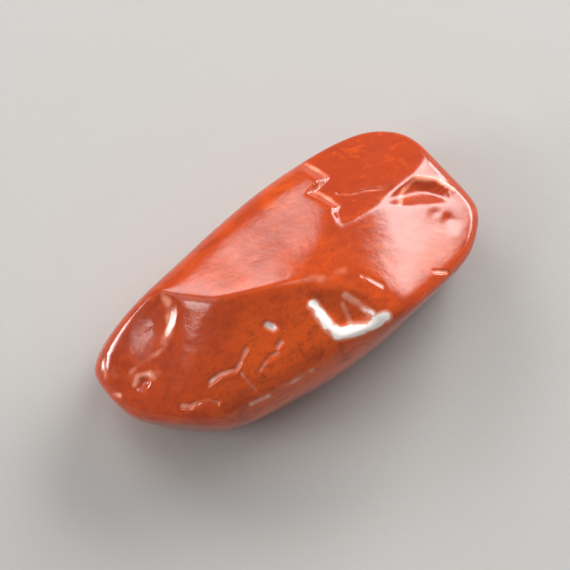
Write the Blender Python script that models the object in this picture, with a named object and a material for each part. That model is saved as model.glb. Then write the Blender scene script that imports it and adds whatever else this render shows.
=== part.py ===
"""One tumbled red jasper stone, a long polished piece with worn facets and old chip scars.

The stone is a smooth field that is zero on its surface. Worn facets are planes joined by a soft maximum,
which rounds every edge as tumbling does, and each chip scar is a shallow cut with a rounded rim.
A cube's grid is carried out along rays from the stone's heart until it meets that surface.

The long axis is X, the face that shows in use is +Z, and the origin is at the middle of the resting face.
"""

import bmesh
import bpy
import numpy as np

# Overall size of the stone, in metres
LENGTH = 0.0308
WIDTH = 0.0157
HEIGHT = 0.0123

NODE_NAME = "jasper_stone"

# The shape below is set out in millimetres from the stone's heart, and is then fitted to the size above
GRID_CELLS = 28
HEART = np.array([0.0, 0.0, 0.0])
RAY_STRETCH = np.array([2.2, 1.15, 1.0])
RAY_REACH = 26.0
HALVINGS = 34
RESTING_CUT = 0.10


# The worn block

FACET_SOFTNESS = 0.48
RIDGE_SOFTNESS = 0.13
NOSE_SOFTNESS = 0.34
RIDGE_FACETS = ("top_back", "top_front", "tail", "top_left", "left_front")

# Heading round Z and rise above the horizontal in degrees, reach from the heart
FACETS = {
    "back": (106.2, 8.0, 6.53),
    "back_right": (92.7, 4.0, 7.06),
    "shoulder_right": (58.8, 6.0, 11.70),
    "nose_upper": (16.5, 4.0, 14.00),
    "nose": (-6.9, -6.0, 16.39),
    "nose_lower": (-39.7, -8.0, 12.71),
    "front_right": (-73.9, -8.0, 8.11),
    "front": (-89.6, -8.0, 8.07),
    "front_left": (-124.8, -8.0, 11.79),
    "left_end": (-166.7, -6.0, 15.77),
    "left_upper": (131.5, 8.0, 11.26),
    "top_back": (92.0, 66.0, 5.70),
    "top_front": (-124.0, 66.7, 7.13),
    "tail": (-162.0, 63.0, 8.24),
    "top_left": (-166.0, 57.0, 8.76),
    "left_front": (-145.0, 60.0, 8.07),
    "top_right": (5.0, 75.0, 6.95),
    "nose_top": (-9.0, 60.0, 8.30),
    "front_band": (-96.0, 24.0, 8.75),
    "rest": (0.0, -90.0, 5.6),
    "under_back": (98.0, -42.0, 7.6),
    "under_front": (-84.0, -44.0, 7.9),
    "under_nose": (0.0, -46.0, 12.6),
    "under_left": (180.0, -46.0, 12.9),
}


def unit(vector):
    """The vector at length one."""
    return np.asarray(vector, float) / np.linalg.norm(vector)


def direction(heading, rise):
    """The unit direction at a heading round Z and a rise above the horizontal, in degrees."""
    heading, rise = np.radians((heading, rise))
    return np.array([np.cos(heading) * np.cos(rise), np.sin(heading) * np.cos(rise), np.sin(rise)])


FACET_NORMALS = np.array([direction(heading, rise) for heading, rise, _ in FACETS.values()])
FACET_REACHES = np.array([reach for _, _, reach in FACETS.values()])
ON_RIDGE = [i for i, name in enumerate(FACETS) if name in RIDGE_FACETS]
NOSE_TOP = [list(FACETS).index("nose_top")]
ROUNDED = [i for i in range(len(FACETS)) if i not in ON_RIDGE + NOSE_TOP]


def soft_max(heights, softness):
    """The highest of each row, with the places where two are nearly level rounded over."""
    highest = heights.max(axis=1)
    spread = np.exp((heights - highest[:, None]) / softness).sum(axis=1)
    return highest + softness * np.log(spread)


def worn_block(points):
    """Height above the worn block: its facets, with the crisp ridges joined first and the nose's top last."""
    heights = points @ FACET_NORMALS.T - FACET_REACHES
    ridge = soft_max(heights[:, ON_RIDGE], RIDGE_SOFTNESS)
    block = soft_max(np.column_stack([heights[:, ROUNDED], ridge]), FACET_SOFTNESS)
    return soft_max(np.column_stack([block, heights[:, NOSE_TOP]]), NOSE_SOFTNESS)


def meet(field, starts, rays):
    """The points where rays from inside the stone meet the field's surface, by halving."""
    inside = np.zeros(len(rays))
    outside = np.full(len(rays), RAY_REACH)
    for _ in range(HALVINGS):
        middle = (inside + outside) / 2
        beyond = field(starts + rays * middle[:, None]) > 0
        outside = np.where(beyond, middle, outside)
        inside = np.where(beyond, inside, middle)
    return starts + rays * inside[:, None]


def outward(field, points, step=0.04):
    """The field's outward unit directions at the points."""
    slopes = [field(points + axis * step) - field(points - axis * step) for axis in np.eye(3)]
    normals = np.stack(slopes, axis=1)
    return normals / np.linalg.norm(normals, axis=1, keepdims=True)


# Chip scars

RIM_ROUNDING = 0.10


def surface_place(station, turn):
    """The point on the worn block at a station along X and a turn round X from the top, and its outward way."""
    spoke = np.array([[0.0, np.sin(np.radians(turn)), np.cos(np.radians(turn))]])
    place = meet(worn_block, np.array([[station, 0.0, 0.0]]), spoke)
    return place[0], outward(worn_block, place)[0]


def round_max(first, second, rounding):
    """The higher of two, rounded over where they cross."""
    return (first + second + np.hypot(first - second, rounding)) / 2


class Scar:
    """An oval chip scar: a flat floor in a sloping wall.

    It is placed by its station along X and its turn round X from the top, in millimetres and degrees.
    Heading is the way its length runs, seen from above. Facing is the heading and rise of its floor, which
    lies square to the stone's face where it isn't given. Wall is the wall's share of the half size, and
    softness rounds the foot of the wall. Steep is the side, turned from the length, where the wall is
    steepest; it is the same all round where that isn't given.
    """

    def __init__(self, station, turn, half_length, half_width, depth, heading=0.0, facing=None, wall=1.0,
                 softness=0.5, steep=None):
        self.place, normal = surface_place(station, turn)
        self.up = normal if facing is None else direction(*facing)
        self.along = unit(np.cross(np.cross(self.up, direction(heading, 0.0)), self.up))
        self.across = np.cross(self.up, self.along)
        self.half_length = half_length
        self.half_width = half_width
        self.depth = depth
        self.wall = wall
        self.softness = softness
        self.steep = steep

    def height(self, points):
        """Height above the scar's floor and wall."""
        local = points - self.place
        along = local @ self.along / self.half_length
        across = local @ self.across / self.half_width
        spread = np.hypot(along, across).clip(1e-6)
        wall = self.wall
        if self.steep is not None:
            aside = (1.0 - np.cos(np.arctan2(across, along) - np.radians(self.steep))) / 2
            wall = wall + (1.0 - wall) * aside
        climb = (spread - 1.0) / wall + 1.0
        floor = self.depth * (round_max(climb, 0.0, self.softness) - 1.0)
        steepness = (1.0 + climb / np.hypot(climb, self.softness)) / 2
        pull = np.hypot(along / self.half_length, across / self.half_width) / spread
        slope = self.depth * steepness * pull / wall
        return (local @ self.up - floor) / np.sqrt(1.0 + slope * slope)


class Notch:
    """A broken chip: a flat floor with flat walls.

    It is placed as a scar is. Floor is the heading and rise that the floor faces. Each wall is the heading
    and rise that it faces, and how far from the middle it meets the stone's face.
    """

    def __init__(self, station, turn, depth, floor, walls, softness=0.1):
        place, normal = surface_place(station, turn)
        self.normals = [direction(*floor)]
        feet = [place - normal * depth]
        for heading, rise, distance in walls:
            facing = direction(heading, rise)
            self.normals.append(facing)
            feet.append(place - unit(facing - normal * (facing @ normal)) * distance)
        self.normals = np.array(self.normals)
        self.reaches = (self.normals * feet).sum(axis=1)
        self.softness = softness

    def height(self, points):
        """Height inside the notch: above its floor and its walls."""
        return -soft_max(self.reaches - points @ self.normals.T, self.softness)


SCARS = {
    "left scoop": Scar(-11.0, 15.0, 3.1, 1.8, 0.28, heading=24.0, wall=0.32, softness=0.25, steep=-35.0),
    "left pit": Scar(-13.3, -52.0, 0.55, 0.45, 0.35, heading=20.0, wall=0.6),
    "front dent": Notch(2.6, -42.0, 0.55, (-112.0, 60.0), [
        (-14.0, 60.0, 2.95),
        (86.0, 66.0, 1.85),
        (-160.0, 58.0, 1.3),
        (-104.0, 50.0, 1.9),
    ]),
    "dent left recess": Notch(1.3, -45.0, 0.90, (-120.0, 66.0), [
        (-20.0, 56.0, 0.5),
        (90.0, 60.0, 0.5),
        (170.0, 56.0, 0.6),
        (-100.0, 50.0, 0.6),
    ], 0.06),
    "dent right recess": Notch(2.5, -42.0, 0.90, (-140.0, 72.0), [
        (-30.0, 60.0, 0.45),
        (88.0, 60.0, 0.75),
        (-165.0, 60.0, 0.5),
        (-95.0, 54.0, 0.8),
    ], 0.06),
    "nose chip": Notch(11.4, 10.0, 0.45, (34.0, 50.0), [
        (-100.0, 50.0, 1.15),
        (-146.0, 50.0, 1.6),
        (-45.0, 50.0, 1.6),
    ], 0.16),
    "back hollow": Scar(-6.0, 108.0, 2.6, 1.3, 0.45, heading=170.0),
    "back chip": Scar(8.6, 122.0, 1.6, 1.1, 0.40, heading=30.0),
    "under hollow": Scar(-4.0, -128.0, 3.0, 1.4, 0.45, heading=8.0),
    "end chip": Scar(11.6, -128.0, 1.5, 1.1, 0.38, heading=60.0),
}

# The large flake off the back right shoulder: two plain floors behind a stepped wall
FLAKE_FLOORS = ((60.0, 60.0, 6.52), (70.0, 62.0, 6.00))
FLAKE_WALL_RISE = 56.0
FLAKE_WALL_Y = (1.0, 1.8, 2.2, 3.3, 4.2, 4.7, 5.4, 6.6)
FLAKE_WALL_X = (4.6, 4.8, 5.2, 4.7, 4.1, 5.7, 5.4, 4.8)
FLAKE_ROUNDING = 0.10


def flake(points):
    """Height inside the flake's cut: above its floors and right of its stepped wall."""
    above = [points @ direction(heading, rise) - reach for heading, rise, reach in FLAKE_FLOORS]
    above = round_max(*above, FLAKE_ROUNDING)
    wall_line = np.interp(points[:, 1], FLAKE_WALL_Y, FLAKE_WALL_X)
    lean = np.radians(FLAKE_WALL_RISE)
    beyond = (points[:, 0] - wall_line) * np.cos(lean) + above * np.sin(lean)
    return -round_max(-above, -beyond, FLAKE_ROUNDING)


def flaked(points):
    """Height above the worn block with the flake cut from it."""
    return round_max(worn_block(points), flake(points), RIM_ROUNDING)


def stone(points):
    """Height above the chipped stone: the flaked block with each scar cut from it."""
    height = flaked(points)
    for scar in SCARS.values():
        height = round_max(height, scar.height(points), RIM_ROUNDING)
    return height


# The mesh


def cube_grid():
    """A closed cube of square cells, each side GRID_CELLS cells across."""
    mesh = bmesh.new()
    bmesh.ops.create_cube(mesh, size=2.0)
    bmesh.ops.subdivide_edges(mesh, edges=mesh.edges[:], cuts=GRID_CELLS - 1, use_grid_fill=True)
    return mesh


def rays_of(mesh):
    """One ray from the heart through each point of the cube, spread evenly over the long stone."""
    corners = np.array([vertex.co for vertex in mesh.verts])
    even = np.tan(corners * np.pi / 4)
    even /= np.linalg.norm(even, axis=1, keepdims=True)
    stretched = even * RAY_STRETCH
    return stretched / np.linalg.norm(stretched, axis=1, keepdims=True)


def fitted(points):
    """The shape set on its resting face, centred, and fitted to the stone's size."""
    points = points.copy()
    points[:, 2] = np.maximum(points[:, 2], points[:, 2].min() + RESTING_CUT)
    lowest, highest = points.min(axis=0), points.max(axis=0)
    origin = np.array([*(lowest + highest)[:2] / 2, lowest[2]])
    return (points - origin) / (highest - lowest) * np.array([LENGTH, WIDTH, HEIGHT])


def jasper_material():
    """Polished brick-red jasper."""
    material = bpy.data.materials.new("polished_jasper")
    material.use_nodes = True
    shader = material.node_tree.nodes["Principled BSDF"]
    shader.inputs["Base Color"].default_value = (0.50, 0.072, 0.016, 1.0)
    shader.inputs["Roughness"].default_value = 0.12
    shader.inputs["Metallic"].default_value = 0.0
    return material


def build_stone():
    """The stone as one closed, smooth-shaded object."""
    grid = cube_grid()
    rays = rays_of(grid)
    surface = fitted(meet(stone, np.broadcast_to(HEART, rays.shape), rays))
    for vertex, place in zip(grid.verts, surface):
        vertex.co = place
    bmesh.ops.recalc_face_normals(grid, faces=grid.faces[:])
    mesh = bpy.data.meshes.new(NODE_NAME)
    grid.to_mesh(mesh)
    grid.free()
    mesh.shade_smooth()
    mesh.materials.append(jasper_material())
    piece = bpy.data.objects.new(NODE_NAME, mesh)
    bpy.context.scene.collection.objects.link(piece)
    return piece


def main():
    for old in list(bpy.data.objects):
        bpy.data.objects.remove(old)
    build_stone()


main()
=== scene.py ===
"""Looks of one tumbled red jasper stone: its fine form, its polished skin, and the table and lights round it.

The stone's form is a smooth field that is zero on its surface. Worn facets are planes joined by a soft
maximum, chip scars and a large flake are cut into them with rounded rims, and cracks, small pits and the
tumbler's waviness are small steps in or out along the surface. Lengths in the form are millimetres from the
stone's heart, and the finished form is fitted to the box of the CAD node that it stands for.
"""

import math

import bmesh
import bpy
import numpy as np
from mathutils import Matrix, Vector, noise


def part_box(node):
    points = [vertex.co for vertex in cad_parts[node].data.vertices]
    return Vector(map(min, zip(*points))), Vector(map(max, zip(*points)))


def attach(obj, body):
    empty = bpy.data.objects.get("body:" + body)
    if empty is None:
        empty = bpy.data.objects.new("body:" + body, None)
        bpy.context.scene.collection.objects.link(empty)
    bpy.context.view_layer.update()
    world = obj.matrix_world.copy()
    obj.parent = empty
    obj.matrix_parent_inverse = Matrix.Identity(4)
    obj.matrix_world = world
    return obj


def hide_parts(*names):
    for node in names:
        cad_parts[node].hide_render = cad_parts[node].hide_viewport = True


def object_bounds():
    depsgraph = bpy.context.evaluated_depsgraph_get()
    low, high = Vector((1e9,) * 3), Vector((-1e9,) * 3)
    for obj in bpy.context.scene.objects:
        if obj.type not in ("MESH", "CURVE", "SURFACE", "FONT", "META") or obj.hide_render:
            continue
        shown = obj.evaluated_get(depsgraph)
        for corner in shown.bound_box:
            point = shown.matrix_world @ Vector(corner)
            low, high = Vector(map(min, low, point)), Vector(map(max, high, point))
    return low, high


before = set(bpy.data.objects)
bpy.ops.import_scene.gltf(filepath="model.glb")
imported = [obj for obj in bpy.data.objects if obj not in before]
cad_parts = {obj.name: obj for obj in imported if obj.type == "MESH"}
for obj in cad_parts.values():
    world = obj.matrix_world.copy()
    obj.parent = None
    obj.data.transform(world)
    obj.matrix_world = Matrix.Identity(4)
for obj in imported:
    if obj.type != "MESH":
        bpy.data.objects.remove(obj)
cad_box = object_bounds()

STONE_NODE = "jasper_stone"


# The worn block

FACET_SOFTNESS = 0.48
RIDGE_SOFTNESS = 0.13
NOSE_SOFTNESS = 0.34
RIDGE_FACETS = ("top_back", "top_front", "tail", "top_left", "left_front")

# Heading round Z and rise above the horizontal in degrees, reach from the heart
FACETS = {
    "back": (106.2, 8.0, 6.53),
    "back_right": (92.7, 4.0, 7.06),
    "shoulder_right": (58.8, 6.0, 11.70),
    "nose_upper": (16.5, 4.0, 14.00),
    "nose": (-6.9, -6.0, 16.39),
    "nose_lower": (-39.7, -8.0, 12.71),
    "front_right": (-73.9, -8.0, 8.11),
    "front": (-89.6, -8.0, 8.07),
    "front_left": (-124.8, -8.0, 11.79),
    "left_end": (-166.7, -6.0, 15.77),
    "left_upper": (131.5, 8.0, 11.26),
    "top_back": (92.0, 66.0, 5.70),
    "top_front": (-124.0, 66.7, 7.13),
    "tail": (-162.0, 63.0, 8.24),
    "top_left": (-166.0, 57.0, 8.76),
    "left_front": (-145.0, 60.0, 8.07),
    "top_right": (5.0, 75.0, 6.95),
    "nose_top": (-9.0, 60.0, 8.30),
    "front_band": (-96.0, 24.0, 8.75),
    "rest": (0.0, -90.0, 5.6),
    "under_back": (98.0, -42.0, 7.6),
    "under_front": (-84.0, -44.0, 7.9),
    "under_nose": (0.0, -46.0, 12.6),
    "under_left": (180.0, -46.0, 12.9),
}


def unit(vector):
    """The vector at length one."""
    return np.asarray(vector, float) / np.linalg.norm(vector)


def direction(heading, rise):
    """The unit direction at a heading round Z and a rise above the horizontal, in degrees."""
    heading, rise = np.radians((heading, rise))
    return np.array([np.cos(heading) * np.cos(rise), np.sin(heading) * np.cos(rise), np.sin(rise)])


FACET_NORMALS = np.array([direction(heading, rise) for heading, rise, _ in FACETS.values()])
FACET_REACHES = np.array([reach for _, _, reach in FACETS.values()])
ON_RIDGE = [i for i, name in enumerate(FACETS) if name in RIDGE_FACETS]
NOSE_TOP = [list(FACETS).index("nose_top")]
ROUNDED = [i for i in range(len(FACETS)) if i not in ON_RIDGE + NOSE_TOP]


def soft_max(heights, softness):
    """The highest of each row, with the places where two are nearly level rounded over."""
    highest = heights.max(axis=1)
    spread = np.exp((heights - highest[:, None]) / softness).sum(axis=1)
    return highest + softness * np.log(spread)


def worn_block(points):
    """Height above the worn block: its facets, with the crisp ridges joined first and the nose's top last."""
    heights = points @ FACET_NORMALS.T - FACET_REACHES
    ridge = soft_max(heights[:, ON_RIDGE], RIDGE_SOFTNESS)
    block = soft_max(np.column_stack([heights[:, ROUNDED], ridge]), FACET_SOFTNESS)
    return soft_max(np.column_stack([block, heights[:, NOSE_TOP]]), NOSE_SOFTNESS)


RAY_REACH = 26.0
HALVINGS = 26


def meet(field, starts, rays):
    """The points where rays from inside the stone meet the field's surface, by halving."""
    inside = np.zeros(len(rays))
    outside = np.full(len(rays), RAY_REACH)
    for _ in range(HALVINGS):
        middle = (inside + outside) / 2
        beyond = field(starts + rays * middle[:, None]) > 0
        outside = np.where(beyond, middle, outside)
        inside = np.where(beyond, inside, middle)
    return starts + rays * inside[:, None]


def outward(field, points, step=0.04):
    """The field's outward unit directions at the points."""
    slopes = [field(points + axis * step) - field(points - axis * step) for axis in np.eye(3)]
    normals = np.stack(slopes, axis=1)
    return normals / np.linalg.norm(normals, axis=1, keepdims=True)


# Chip scars

RIM_ROUNDING = 0.10


def surface_place(station, turn):
    """The worn block's point at a station along X and a turn round X from the top, and its outward way."""
    spoke = np.array([[0.0, np.sin(np.radians(turn)), np.cos(np.radians(turn))]])
    place = meet(worn_block, np.array([[station, 0.0, 0.0]]), spoke)
    return place[0], outward(worn_block, place)[0]


def round_max(first, second, rounding):
    """The higher of two, rounded over where they cross."""
    return (first + second + np.hypot(first - second, rounding)) / 2


class Scar:
    """An oval chip scar: a flat floor in a sloping wall.

    It is placed by its station along X and its turn round X from the top, in millimetres and degrees.
    Heading is the way its length runs, seen from above. Facing is the heading and rise of its floor, which
    lies square to the stone's face where it isn't given. Wall is the wall's share of the half size, and
    softness rounds the foot of the wall. Steep is the side, turned from the length, where the wall is
    steepest; it is the same all round where that isn't given.
    """

    def __init__(self, station, turn, half_length, half_width, depth, heading=0.0, facing=None, wall=1.0,
                 softness=0.5, steep=None):
        self.place, normal = surface_place(station, turn)
        self.up = normal if facing is None else direction(*facing)
        self.along = unit(np.cross(np.cross(self.up, direction(heading, 0.0)), self.up))
        self.across = np.cross(self.up, self.along)
        self.half_length = half_length
        self.half_width = half_width
        self.depth = depth
        self.wall = wall
        self.softness = softness
        self.steep = steep

    def height(self, points):
        """Height above the scar's floor and wall."""
        local = points - self.place
        along = local @ self.along / self.half_length
        across = local @ self.across / self.half_width
        spread = np.hypot(along, across).clip(1e-6)
        wall = self.wall
        if self.steep is not None:
            aside = (1.0 - np.cos(np.arctan2(across, along) - np.radians(self.steep))) / 2
            wall = wall + (1.0 - wall) * aside
        climb = (spread - 1.0) / wall + 1.0
        floor = self.depth * (round_max(climb, 0.0, self.softness) - 1.0)
        steepness = (1.0 + climb / np.hypot(climb, self.softness)) / 2
        pull = np.hypot(along / self.half_length, across / self.half_width) / spread
        slope = self.depth * steepness * pull / wall
        return (local @ self.up - floor) / np.sqrt(1.0 + slope * slope)


class Notch:
    """A broken chip: a flat floor with flat walls.

    It is placed as a scar is. Floor is the heading and rise that the floor faces. Each wall is the heading
    and rise that it faces, and how far from the middle it meets the stone's face.
    """

    def __init__(self, station, turn, depth, floor, walls, softness=0.1):
        place, normal = surface_place(station, turn)
        self.normals = [direction(*floor)]
        feet = [place - normal * depth]
        for heading, rise, distance in walls:
            facing = direction(heading, rise)
            self.normals.append(facing)
            feet.append(place - unit(facing - normal * (facing @ normal)) * distance)
        self.normals = np.array(self.normals)
        self.reaches = (self.normals * feet).sum(axis=1)
        self.softness = softness

    def height(self, points):
        """Height inside the notch: above its floor and its walls."""
        return -soft_max(self.reaches - points @ self.normals.T, self.softness)


SCARS = {
    "left scoop": Scar(-11.0, 15.0, 3.1, 1.8, 0.28, heading=24.0, wall=0.32, softness=0.25, steep=-35.0),
    "left pit": Scar(-13.3, -52.0, 0.55, 0.45, 0.35, heading=20.0, wall=0.6),
    "front dent": Notch(2.6, -42.0, 0.55, (-112.0, 60.0), [
        (-14.0, 60.0, 2.95),
        (86.0, 66.0, 1.85),
        (-160.0, 58.0, 1.3),
        (-104.0, 50.0, 1.9),
    ]),
    "dent left recess": Notch(1.3, -45.0, 0.90, (-120.0, 66.0), [
        (-20.0, 56.0, 0.5),
        (90.0, 60.0, 0.5),
        (170.0, 56.0, 0.6),
        (-100.0, 50.0, 0.6),
    ], 0.06),
    "dent right recess": Notch(2.5, -42.0, 0.90, (-140.0, 72.0), [
        (-30.0, 60.0, 0.45),
        (88.0, 60.0, 0.75),
        (-165.0, 60.0, 0.5),
        (-95.0, 54.0, 0.8),
    ], 0.06),
    "nose chip": Notch(11.4, 10.0, 0.45, (34.0, 50.0), [
        (-100.0, 50.0, 1.15),
        (-146.0, 50.0, 1.6),
        (-45.0, 50.0, 1.6),
    ], 0.16),
    "back hollow": Scar(-6.0, 108.0, 2.6, 1.3, 0.45, heading=170.0),
    "back chip": Scar(8.6, 122.0, 1.6, 1.1, 0.40, heading=30.0),
    "under hollow": Scar(-4.0, -128.0, 3.0, 1.4, 0.45, heading=8.0),
    "end chip": Scar(11.6, -128.0, 1.5, 1.1, 0.38, heading=60.0),
}

# The large flake off the back right shoulder: two plain floors behind a stepped wall
FLAKE_FLOORS = ((60.0, 60.0, 6.52), (70.0, 62.0, 6.00))
FLAKE_WALL_RISE = 56.0
FLAKE_WALL_Y = (1.0, 1.8, 2.2, 3.3, 4.2, 4.7, 5.4, 6.6)
FLAKE_WALL_X = (4.6, 4.8, 5.2, 4.7, 4.1, 5.7, 5.4, 4.8)
FLAKE_ROUNDING = 0.10


def flake(points):
    """Height inside the flake's cut: above its floors and right of its stepped wall."""
    above = [points @ direction(heading, rise) - reach for heading, rise, reach in FLAKE_FLOORS]
    above = round_max(*above, FLAKE_ROUNDING)
    wall_line = np.interp(points[:, 1], FLAKE_WALL_Y, FLAKE_WALL_X)
    lean = np.radians(FLAKE_WALL_RISE)
    beyond = (points[:, 0] - wall_line) * np.cos(lean) + above * np.sin(lean)
    return -round_max(-above, -beyond, FLAKE_ROUNDING)


def flaked(points):
    """Height above the worn block with the flake cut from it."""
    return round_max(worn_block(points), flake(points), RIM_ROUNDING)


def stone(points):
    """Height above the chipped stone: the flaked block with each scar cut from it."""
    height = flaked(points)
    for scar in SCARS.values():
        height = round_max(height, scar.height(points), RIM_ROUNDING)
    return height


# Fine marks on the upper side


class Mark:
    """A crack, a scratch, a crush mark or a painted highlight along a line seen from above, in millimetres.

    Reach is how far it goes to each side of its line, depth how deep it cuts, and pale how strongly it is
    whitened, partly as crush-whitened stone and partly as painted highlight.
    """

    def __init__(self, line, reach, depth=0.0, pale=0.0):
        below = np.array([(x, y, 0.0) for x, y in line])
        self.line = meet(stone, below, np.tile((0.0, 0.0, 1.0), (len(line), 1)))
        self.reach = reach
        self.depth = depth
        self.pale = pale

    def cover(self, points):
        """One on the mark's line, falling smoothly to nothing at its reach."""
        nearest = np.full(len(points), np.inf)
        for start, end in zip(self.line[:-1], self.line[1:]):
            span = end - start
            share = np.clip((points - start) @ span / (span @ span), 0.0, 1.0)
            gap = np.linalg.norm(points - start - share[:, None] * span, axis=1)
            nearest = np.minimum(nearest, gap)
        share = np.clip(1.0 - nearest / self.reach, 0.0, 1.0)
        return share * share * (3.0 - 2.0 * share)


# Pale on these marks paints highlights and sheen, and on the dent and scoop walls it is also crush-whitened
# stone
MARKS = {
    # The dent's arms: painted highlight on crush-whitened walls
    "dent left arm": Mark([(-0.1, -3.9), (0.1, -4.9), (0.3, -5.8), (0.6, -6.4)], 0.75, pale=1.3),
    "dent lower arm": Mark([(0.6, -6.4), (1.6, -6.7), (2.8, -6.9), (4.2, -7.0)], 0.80, pale=1.3),
    "dent right arm": Mark([(2.3, -4.3), (2.8, -5.1), (3.4, -6.3)], 0.48, pale=0.9),
    "dent small arm": Mark([(1.9, -4.7), (1.7, -6.1)], 0.40, pale=0.5),
    "dent mottling": Mark([(0.5, -2.0), (1.7, -2.7), (2.9, -2.6)], 0.9, pale=0.15),
    "dent streak": Mark([(4.1, -3.5), (4.6, -4.1), (5.1, -4.8)], 0.24, 0.06, 0.3),
    # The squiggles, crack, pits and scratch: their pale edges are painted highlights
    "upper squiggle": Mark([(-9.2, -4.8), (-8.3, -4.7), (-7.1, -5.0), (-6.5, -4.6), (-5.8, -4.1)],
                           0.26, 0.14, 0.5),
    "left squiggle": Mark([(-11.7, -5.1), (-11.1, -5.5), (-10.5, -5.5), (-9.8, -5.8), (-9.3, -6.3)],
                          0.26, 0.14, 0.45),
    "short squiggle": Mark([(-5.7, -5.9), (-4.8, -5.5), (-3.9, -5.4)], 0.22, 0.10, 0.3),
    "cross crack": Mark([(-6.9, -5.4), (-6.7, -6.2), (-6.5, -6.9)], 0.24, 0.10, 0.4),
    "bright pit": Mark([(-3.7, -3.5), (-3.4, -3.8)], 0.48, 0.22, 0.8),
    "small pit": Mark([(-3.8, -5.1), (-3.4, -4.9)], 0.30, 0.14, 0.5),
    "nose scratch": Mark([(9.3, -5.3), (10.1, -5.6)], 0.25, 0.08, 0.4),
    "shoulder crease": Mark([(5.7, 3.2), (6.6, 2.7), (7.6, 2.5), (9.2, 1.9)], 0.26, 0.06, 0.15),
    # Painted highlight along the step's wall
    "step painted highlight": Mark([(4.9, 6.6), (5.5, 5.4), (5.7, 4.9), (4.3, 4.2), (4.8, 3.3), (5.2, 2.2)],
                        0.40, pale=0.35),
    # Painted highlights on the lower edge
    "first rim bar": Mark([(-7.2, -7.5), (-5.8, -7.6)], 0.36, 0.05, 0.5),
    "second rim bar": Mark([(-4.3, -7.6), (-2.2, -7.6)], 0.36, 0.05, 0.5),
    # The scoop's crescent: painted highlight on its crush-whitened wall; its lower edge: painted sheen; the
    # pit's rim: painted highlight
    "scoop wall": Mark([(-9.1, 2.2), (-9.3, 1.2), (-9.8, 0.2), (-10.7, -0.7)], 0.75, pale=0.32),
    "scoop edge": Mark([(-13.8, -1.0), (-12.4, -0.9), (-10.9, -1.0)], 0.40, pale=0.25),
    "pit ring": Mark([(-13.9, -1.9), (-13.4, -1.5), (-12.7, -1.8), (-12.5, -2.4)], 0.35, pale=0.5),
    # Painted highlights on the left end, and painted sheen over it
    "left speck": Mark([(-15.5, -0.2), (-15.0, 0.9)], 0.30, 0.05, 0.4),
    "left end speck": Mark([(-15.5, -1.6), (-15.2, -1.9)], 0.35, 0.04, 0.45),
    "left end painted sheen": Mark([(-14.9, -0.3), (-14.2, -1.2), (-12.1, -2.4)], 0.9, pale=0.14),
    # Painted highlight along the nose chip's rim
    "nose rim": Mark([(9.3, 0.3), (10.0, 1.2), (10.8, 1.6), (11.5, 1.8), (12.7, 1.3), (13.7, 0.0)],
                     0.36, -0.03, 0.45),
    "nose dimple": Mark([(11.6, -1.6), (12.1, -2.1)], 1.3, 0.07, 0.06),
}


PATCH_STRENGTH = 0.9
PATCH_SCALE = 1.3


def patches(points):
    """Uneven strength for the fine marks, near one on average."""
    return np.array([1.0 + PATCH_STRENGTH * noise.noise(Vector(point) * PATCH_SCALE) for point in points])


def cuts(points):
    """How deep the fine marks cut at the points."""
    return sum(mark.depth * mark.cover(points) for mark in MARKS.values())


def bruises_and_highlights(points):
    """How pale the fine marks leave the points, partly as crush-whitened stone and partly as painted
    highlights.
    """
    return np.max([mark.pale * mark.cover(points) for mark in MARKS.values()], axis=0)


# The mesh

GRID_CELLS = {"X": 208, "Y": 104, "Z": 72}
RAY_STRETCH = np.array([2.2, 1.15, 1.0])
RESTING_CUT = 0.10
SUNK_DEPTH = 0.5

# Height in millimetres of the tumbler's waves, and how many there are to a millimetre
BROAD_WAVES = (0.045, 0.28)
FINE_WAVES = (0.004, 1.1)
FINE_WAVES_SHIFT = Vector((7, 3, 5))


def cube_grid():
    """A closed cube of cells, with the same number of cells along every edge that runs the same way."""
    mesh = bmesh.new()
    bmesh.ops.create_cube(mesh, size=2.0)
    for axis, cells in enumerate(GRID_CELLS.values()):
        running = []
        for edge in mesh.edges:
            span = edge.verts[1].co - edge.verts[0].co
            if abs(span[axis]) > 0.5 * span.length:
                running.append(edge)
        bmesh.ops.subdivide_edges(mesh, edges=running, cuts=cells - 1, use_grid_fill=True)
    return mesh


def rays_of(mesh):
    """One ray from the heart through each point of the cube, spread evenly over the long stone."""
    corners = np.array([vertex.co for vertex in mesh.verts])
    even = np.tan(corners * np.pi / 4)
    even /= np.linalg.norm(even, axis=1, keepdims=True)
    stretched = even * RAY_STRETCH
    return stretched / np.linalg.norm(stretched, axis=1, keepdims=True)


def fitted(points):
    """The form set on its resting face, and fitted to the CAD node's box in metres."""
    points = points.copy()
    points[:, 2] = np.maximum(points[:, 2], points[:, 2].min() + RESTING_CUT)
    lowest, highest = points.min(axis=0), points.max(axis=0)
    low, high = (np.array(corner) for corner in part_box(STONE_NODE))
    return low + (points - lowest) / (highest - lowest) * (high - low)


def waviness(points):
    """The faint unevenness that tumbling leaves, in millimetres."""
    broad_height, broad_scale = BROAD_WAVES
    fine_height, fine_scale = FINE_WAVES
    heights = []
    for point in points:
        place = Vector(point)
        broad = broad_height * noise.noise(place * broad_scale)
        fine = fine_height * noise.noise(place * fine_scale + FINE_WAVES_SHIFT)
        heights.append(broad + fine)
    return np.array(heights)


def add_number(mesh, name, values):
    """A number at each point of the mesh, for a material to read."""
    attribute = mesh.attributes.new(name, "FLOAT", "POINT")
    attribute.data.foreach_set("value", values.astype(np.float32))


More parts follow.
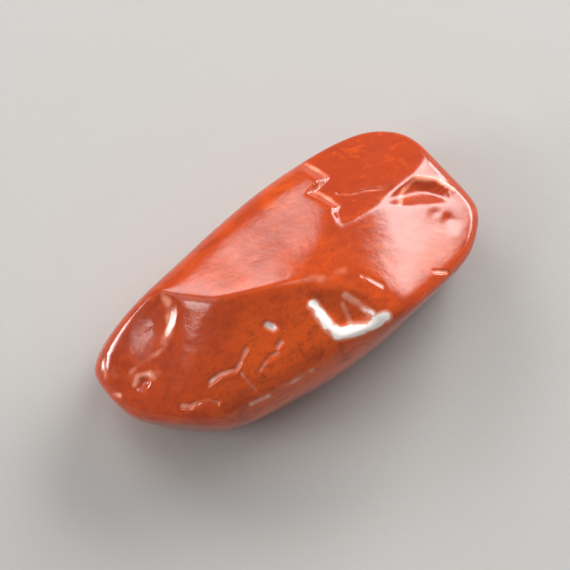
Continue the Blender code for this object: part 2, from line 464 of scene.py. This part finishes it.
def build_stone(material):
    """The dressed stone as one closed object."""
    grid = cube_grid()
    rays = rays_of(grid)
    surface = meet(stone, np.zeros(rays.shape), rays)
    normals = outward(stone, surface)
    sunk = np.clip(-flaked(surface) / SUNK_DEPTH, 0.0, 1.0)
    uneven = patches(surface)
    shaped = surface + normals * (waviness(surface) - uneven * cuts(surface))[:, None]
    for vertex, place in zip(grid.verts, fitted(shaped)):
        vertex.co = place
    bmesh.ops.recalc_face_normals(grid, faces=grid.faces[:])
    mesh = bpy.data.meshes.new("tumbled_jasper")
    grid.to_mesh(mesh)
    grid.free()
    mesh.shade_smooth()
    mesh.materials.append(material)
    add_number(mesh, "sunk", sunk)
    # Paleness at each point: partly crush-whitened stone, partly painted highlights and sheen
    add_number(mesh, "bruise_and_highlight", uneven * bruises_and_highlights(surface))
    piece = bpy.data.objects.new("tumbled_jasper", mesh)
    bpy.context.scene.collection.objects.link(piece)
    return piece


# Materials

BRICK_RED = (0.52, 0.056, 0.004, 1.0)
DEEP_RED = (0.37, 0.038, 0.006, 1.0)
ORANGE_RED = (0.62, 0.086, 0.006, 1.0)
BRIGHT_RED = (0.78, 0.10, 0.006, 1.0)
DARK_FLECK = (0.26, 0.030, 0.006, 1.0)
# Pink and near white for the marks: partly crush-whitened stone, partly painted sheen and painted highlights
PINK_BRUISE_AND_SHEEN = (0.76, 0.25, 0.15, 1.0)
PALE_BRUISE_AND_HIGHLIGHT = (0.96, 0.89, 0.84, 1.0)
CARD_WHITE = (0.47, 0.46, 0.44, 1.0)

# Scale in cells to the metre, detail, roughness and distortion of each pattern in the stone
CLOUDS = (170.0, 3.0, 0.5, 0.6)
GLOW = (95.0, 2.0, 0.5, 0.0)
STREAKS = (1500.0, 3.0, 0.6, 0.4)
SPECKS = (3200.0, 3.0, 0.7, 0.0)
MOTTLE = (620.0, 5.0, 0.7, 0.8)
CRUSHING_AND_HIGHLIGHTS = (1100.0, 2.0, 0.5, 0.0)
HAZE = (320.0, 3.0, 0.5, 0.0)

# Streaks are drawn out along the stone, so their pattern is read more slowly along X
STREAK_PACE = (0.35, 1.0, 1.0)

# Where in its pattern each layer of colour begins and is full, its strength there, and its colour
BRICK_CLOUDS = (0.35, 0.68, 1.0, BRICK_RED)
WARM_GLOW = (0.48, 0.75, 1.0, ORANGE_RED)
DARK_STREAKS = (0.50, 0.72, 0.45, DARK_FLECK)
BRIGHT_STREAKS = (0.44, 0.26, 0.3, BRIGHT_RED)
DARK_SPECKS = (0.54, 0.74, 0.6, DARK_FLECK)
DEEP_MOTTLE = (0.50, 0.64, 0.6, DEEP_RED)
WARM_MOTTLE = (0.46, 0.34, 0.4, ORANGE_RED)
# The pink and pale layers on the marks are partly crush-whitened stone and partly painted sheen and painted
# highlights
PINK_RIMS_AND_SHEEN = (0.05, 0.45, 1.0, PINK_BRUISE_AND_SHEEN)
PALE_RIMS_AND_HIGHLIGHTS = (0.45, 0.90, 1.0, PALE_BRUISE_AND_HIGHLIGHT)

# Where along an axis, in metres, the painted light at the front and the painted shade at the right end begin
# and end, and their strength at both
FRONT_PAINTED_LIGHT_Y = (0.001, -0.006, 0.0, 0.9)
FRONT_PAINTED_LIGHT_X = (-0.011, -0.004, 0.2, 1.0)
RIGHT_PAINTED_SHADE_X = (0.000, 0.007, 0.0, 0.7)

# How much the crushing and the painted highlights vary over their pattern
CRUSHING_AND_HIGHLIGHTS_SPREAD = (0.25, 0.75, 0.65, 1.35)

# Roughness of the polish over its haze, and what scars and the crush-whitened, highlight-painted marks add to
# it
POLISH_SPREAD = (0.3, 0.7, 0.10, 0.17)
SCAR_ROUGHNESS = 0.06
CRUSHED_SPREAD = (0.15, 0.75)
CRUSHED_ROUGHNESS = 0.05
CARD_ROUGHNESS = 0.8
STONE_IOR = 1.54

# Scale in cells to the metre, harshness, and height in metres of the fine grain
STONE_GRAIN = (1400.0, 0.6, 0.0002)
CARD_GRAIN = (900.0, 0.5, 0.0003)
GRAIN_DETAIL = 4.0
GRAIN_STRENGTH = 0.08


class Nodes:
    """Places and joins the nodes of one material, light or group, left to right."""

    SPACING = 180

    def __init__(self, tree):
        self.tree = tree
        self.column = 0

    def add(self, kind, **settings):
        """A new node with its settings."""
        node = self.tree.nodes.new(kind)
        self.column += 1
        node.location = (self.SPACING * self.column, 0)
        for name, value in settings.items():
            setattr(node, name, value)
        return node

    def put(self, socket, value):
        """Links a socket to another node's output, or sets it to a plain value."""
        if isinstance(value, bpy.types.NodeSocket):
            self.tree.links.new(value, socket)
        else:
            socket.default_value = value

    def feed(self, node, **values):
        """Fills a node's inputs by name, with underscores for the spaces in their names."""
        for name, value in values.items():
            self.put(node.inputs[name.replace("_", " ")], value)
        return node

    def noise(self, place, scale, detail=2.0, roughness=0.5, distortion=0.0):
        """A noise pattern, with its scale in cells to the metre."""
        node = self.add("ShaderNodeTexNoise")
        self.feed(node, Vector=place, Scale=scale, Detail=detail, Roughness=roughness, Distortion=distortion)
        return node.outputs["Fac"]

    def span(self, value, from_min, from_max, to_min=0.0, to_max=1.0):
        """A smooth step of a value from one range to another."""
        node = self.add("ShaderNodeMapRange", interpolation_type="SMOOTHSTEP")
        self.feed(node, Value=value, From_Min=from_min, From_Max=from_max, To_Min=to_min, To_Max=to_max)
        return node.outputs["Result"]

    def math(self, operation, first, second=0.0):
        """Arithmetic on one or two values."""
        node = self.add("ShaderNodeMath", operation=operation)
        self.put(node.inputs[0], first)
        self.put(node.inputs[1], second)
        return node.outputs[0]

    def blend(self, share, first, second):
        """One colour over another by a share."""
        node = self.add("ShaderNodeMix", data_type="RGBA")
        under, over = [socket for socket in node.inputs if socket.type == "RGBA"]
        self.put(node.inputs["Factor"], share)
        self.put(under, first)
        self.put(over, second)
        return [socket for socket in node.outputs if socket.type == "RGBA"][0]

    def layer(self, colour, pattern, begin, full, strength, over):
        """The colour with another over it, where a pattern runs from begin to full."""
        return self.blend(self.span(pattern, begin, full, 0.0, strength), colour, over)

    def mark(self, name):
        """A number that the mesh carries at each of its points."""
        return self.add("ShaderNodeAttribute", attribute_name=name).outputs["Fac"]


def new_material(name):
    """An empty material with its Principled BSDF, and the place to read patterns from, in metres."""
    material = bpy.data.materials.new(name)
    material.use_nodes = True
    nodes = Nodes(material.node_tree)
    place = nodes.add("ShaderNodeTexCoord").outputs["Object"]
    return material, nodes, material.node_tree.nodes["Principled BSDF"], place


def grain_group():
    """The fine tooth that the stone and the card both have, as a height that changes from place to place."""
    group = bpy.data.node_groups.new("fine_grain", "ShaderNodeTree")
    group.interface.new_socket("Place", in_out="INPUT", socket_type="NodeSocketVector")
    group.interface.new_socket("Scale", in_out="INPUT", socket_type="NodeSocketFloat")
    group.interface.new_socket("Harshness", in_out="INPUT", socket_type="NodeSocketFloat")
    group.interface.new_socket("Height", in_out="OUTPUT", socket_type="NodeSocketFloat")
    nodes = Nodes(group)
    given = nodes.add("NodeGroupInput").outputs
    height = nodes.noise(given["Place"], given["Scale"], detail=GRAIN_DETAIL, roughness=given["Harshness"])
    nodes.feed(nodes.add("NodeGroupOutput"), Height=height)
    return group


def grained(nodes, group, place, scale, harshness, distance):
    """The normal of a surface with the fine grain raised a little from it."""
    grain = nodes.add("ShaderNodeGroup", node_tree=group)
    nodes.feed(grain, Place=place, Scale=scale, Harshness=harshness)
    bump = nodes.add("ShaderNodeBump")
    nodes.feed(bump, Height=grain.outputs["Height"], Strength=GRAIN_STRENGTH, Distance=distance)
    return bump.outputs["Normal"]


def clouded(nodes, place):
    """Deep red and brick red in clouds, warmer here and there."""
    colour = nodes.layer(DEEP_RED, nodes.noise(place, *CLOUDS), *BRICK_CLOUDS)
    return nodes.layer(colour, nodes.noise(place, *GLOW), *WARM_GLOW)


def painted_light_and_shade(nodes, place, colour):
    """The colour, with painted light brightening it toward the front and painted shade deepening it toward
    the right end.
    """
    spot = nodes.feed(nodes.add("ShaderNodeSeparateXYZ"), Vector=place).outputs
    front = nodes.span(spot["Y"], *FRONT_PAINTED_LIGHT_Y)
    front = nodes.math("MULTIPLY", front, nodes.span(spot["X"], *FRONT_PAINTED_LIGHT_X))
    colour = nodes.blend(front, colour, BRIGHT_RED)
    return nodes.blend(nodes.span(spot["X"], *RIGHT_PAINTED_SHADE_X), colour, DEEP_RED)


def flecked(nodes, place, colour):
    """The colour with streaks drawn out along the stone, dark specks and mottling."""
    drawn = nodes.add("ShaderNodeVectorMath", operation="MULTIPLY")
    nodes.put(drawn.inputs[0], place)
    nodes.put(drawn.inputs[1], STREAK_PACE)
    streaks = nodes.noise(drawn.outputs["Vector"], *STREAKS)
    colour = nodes.layer(colour, streaks, *DARK_STREAKS)
    colour = nodes.layer(colour, streaks, *BRIGHT_STREAKS)
    colour = nodes.layer(colour, nodes.noise(place, *SPECKS), *DARK_SPECKS)
    mottle = nodes.noise(place, *MOTTLE)
    colour = nodes.layer(colour, mottle, *DEEP_MOTTLE)
    return nodes.layer(colour, mottle, *WARM_MOTTLE)


def crushing_and_highlight_share(nodes, place):
    """How strongly the skin is crush-whitened and painted with highlights, from the mesh's marks, unevenly
    broken up.
    """
    broken = nodes.span(nodes.noise(place, *CRUSHING_AND_HIGHLIGHTS), *CRUSHING_AND_HIGHLIGHTS_SPREAD)
    return nodes.math("MULTIPLY", nodes.mark("bruise_and_highlight"), broken)


def bruised_and_highlighted(nodes, crushed_and_highlighted, colour):
    """The colour, pink and then nearly white on the marks: partly crush-whitened stone, partly painted sheen
    and painted highlights.
    """
    colour = nodes.layer(colour, crushed_and_highlighted, *PINK_RIMS_AND_SHEEN)
    return nodes.layer(colour, crushed_and_highlighted, *PALE_RIMS_AND_HIGHLIGHTS)


def polish(nodes, place, crushed_and_highlighted):
    """The roughness of the tumbled polish, duller in scars and on the crush-whitened, highlight-painted
    marks.
    """
    skin = nodes.span(nodes.noise(place, *HAZE), *POLISH_SPREAD)
    scars = nodes.math("MULTIPLY", nodes.mark("sunk"), SCAR_ROUGHNESS)
    bruising = nodes.math("MULTIPLY", nodes.span(crushed_and_highlighted, *CRUSHED_SPREAD), CRUSHED_ROUGHNESS)
    return nodes.math("ADD", nodes.math("ADD", skin, scars), bruising)


def jasper_material(grain):
    """Polished brick-red jasper: clouded, flecked, with painted light to the front and painted shade to the
    right, paler on its marks as crush-whitened stone and painted highlights, duller in its scars.
    """
    material, nodes, shader, place = new_material("polished_jasper")
    crushed_and_highlighted = crushing_and_highlight_share(nodes, place)
    colour = flecked(nodes, place, painted_light_and_shade(nodes, place, clouded(nodes, place)))
    nodes.feed(shader, Base_Color=bruised_and_highlighted(nodes, crushed_and_highlighted, colour))
    nodes.feed(shader, Roughness=polish(nodes, place, crushed_and_highlighted), IOR=STONE_IOR)
    nodes.feed(shader, Normal=grained(nodes, grain, place, *STONE_GRAIN))
    return material


def table_material(grain):
    """Plain pale matt card."""
    material, nodes, shader, place = new_material("pale_card")
    nodes.feed(shader, Base_Color=CARD_WHITE, Roughness=CARD_ROUGHNESS)
    nodes.feed(shader, Normal=grained(nodes, grain, place, *CARD_GRAIN))
    return material


# The table, the lights and the camera

TABLE_HALF = 2.0
SOFT_EDGE = 0.30
STONE_MIDDLE = (cad_box[0] + cad_box[1]) / 2
SURROUND = (0.28, 0.28, 0.285, 1.0)

# Azimuth 0 looks along +Y and 90 along -X; elevation is above the horizon
CAMERA_AZIMUTH = -28.0
CAMERA_ELEVATION = 76.0
CAMERA_DISTANCE = 0.5
PICTURE_WIDTH = 0.042
SENSOR_WIDTH = 36.0
NEAREST_SEEN = 0.01

# Azimuth and elevation of the light, its distance, width and height in metres, and radiance
LIGHTS = {
    "right soft box": (116.0, 27.0, 0.34, 0.37, 0.225, 11.0),
    "right low strip": (97.0, 8.0, 0.34, 0.20, 0.04, 22.0),
    "back soft box": (188.0, 38.0, 0.40, 0.31, 0.21, 5.8),
    "overhead soft box": (152.0, 76.0, 0.40, 0.20, 0.20, 1.6),
    "left soft box": (-117.0, 50.0, 0.36, 0.27, 0.27, 1.3),
    "left high lamp": (-87.0, 44.5, 0.36, 0.09, 0.075, 9.0),
    "left low strip": (-114.0, 10.5, 0.34, 0.18, 0.10, 20.0),
}


def away(azimuth, elevation):
    """The unit direction from the stone toward something at that azimuth and elevation."""
    a, e = math.radians(azimuth), math.radians(elevation)
    return Vector((math.sin(a) * math.cos(e), -math.cos(a) * math.cos(e), math.sin(e)))


def build_table(material):
    """The plain pale table, flat under the stone."""
    mesh = bpy.data.meshes.new("table")
    corners = [(x * TABLE_HALF, y * TABLE_HALF, 0.0) for x, y in ((-1, -1), (1, -1), (1, 1), (-1, 1))]
    mesh.from_pydata(corners, [], [(0, 1, 2, 3)])
    mesh.materials.append(material)
    table = bpy.data.objects.new("table", mesh)
    bpy.context.scene.collection.objects.link(table)


def build_light(name, azimuth, elevation, distance, width, height, radiance):
    """One soft box that faces the stone, dimmer toward its edges."""
    light = bpy.data.lights.new(name, "AREA")
    light.shape = "RECTANGLE"
    light.size = width
    light.size_y = height
    light.energy = radiance * math.pi * width * height
    light.use_nodes = True
    nodes = Nodes(light.node_tree)
    across = nodes.add("ShaderNodeSeparateXYZ")
    nodes.feed(across, Vector=nodes.add("ShaderNodeNewGeometry").outputs["Parametric"])
    glow = 1.0
    for side in ("X", "Y"):
        middle = nodes.math("ABSOLUTE", nodes.math("SUBTRACT", across.outputs[side], 0.5))
        glow = nodes.math("MULTIPLY", nodes.span(middle, 0.5, 0.5 - SOFT_EDGE), glow)
    nodes.feed(light.node_tree.nodes["Emission"], Strength=glow)
    box = bpy.data.objects.new(name, light)
    bpy.context.scene.collection.objects.link(box)
    toward = away(azimuth, elevation)
    box.location = STONE_MIDDLE + toward * distance
    box.rotation_mode = "QUATERNION"
    box.rotation_quaternion = toward.to_track_quat("Z", "Y")
    box.visible_camera = False


def build_surround():
    """A dim even surround."""
    world = bpy.data.worlds.new("surround")
    world.use_nodes = True
    world.node_tree.nodes["Background"].inputs["Color"].default_value = SURROUND
    bpy.context.scene.world = world


def build_camera():
    """A long lens that looks down on the stone."""
    camera = bpy.data.objects.new("camera", bpy.data.cameras.new("camera"))
    toward = away(CAMERA_AZIMUTH, CAMERA_ELEVATION)
    camera.location = STONE_MIDDLE + toward * CAMERA_DISTANCE
    camera.rotation_mode = "QUATERNION"
    camera.rotation_quaternion = toward.to_track_quat("Z", "Y")
    camera.data.sensor_width = SENSOR_WIDTH
    camera.data.lens = SENSOR_WIDTH * CAMERA_DISTANCE / PICTURE_WIDTH
    camera.data.clip_start = NEAREST_SEEN
    bpy.context.scene.collection.objects.link(camera)
    bpy.context.scene.camera = camera


def main():
    """Builds the stone, its table, lights and camera."""
    grain = grain_group()
    piece = build_stone(jasper_material(grain))
    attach(piece, "root")
    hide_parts(STONE_NODE)
    build_table(table_material(grain))
    for name, setting in LIGHTS.items():
        build_light(name, *setting)
    build_surround()
    build_camera()
    bpy.context.scene.view_settings.view_transform = "Standard"


main()
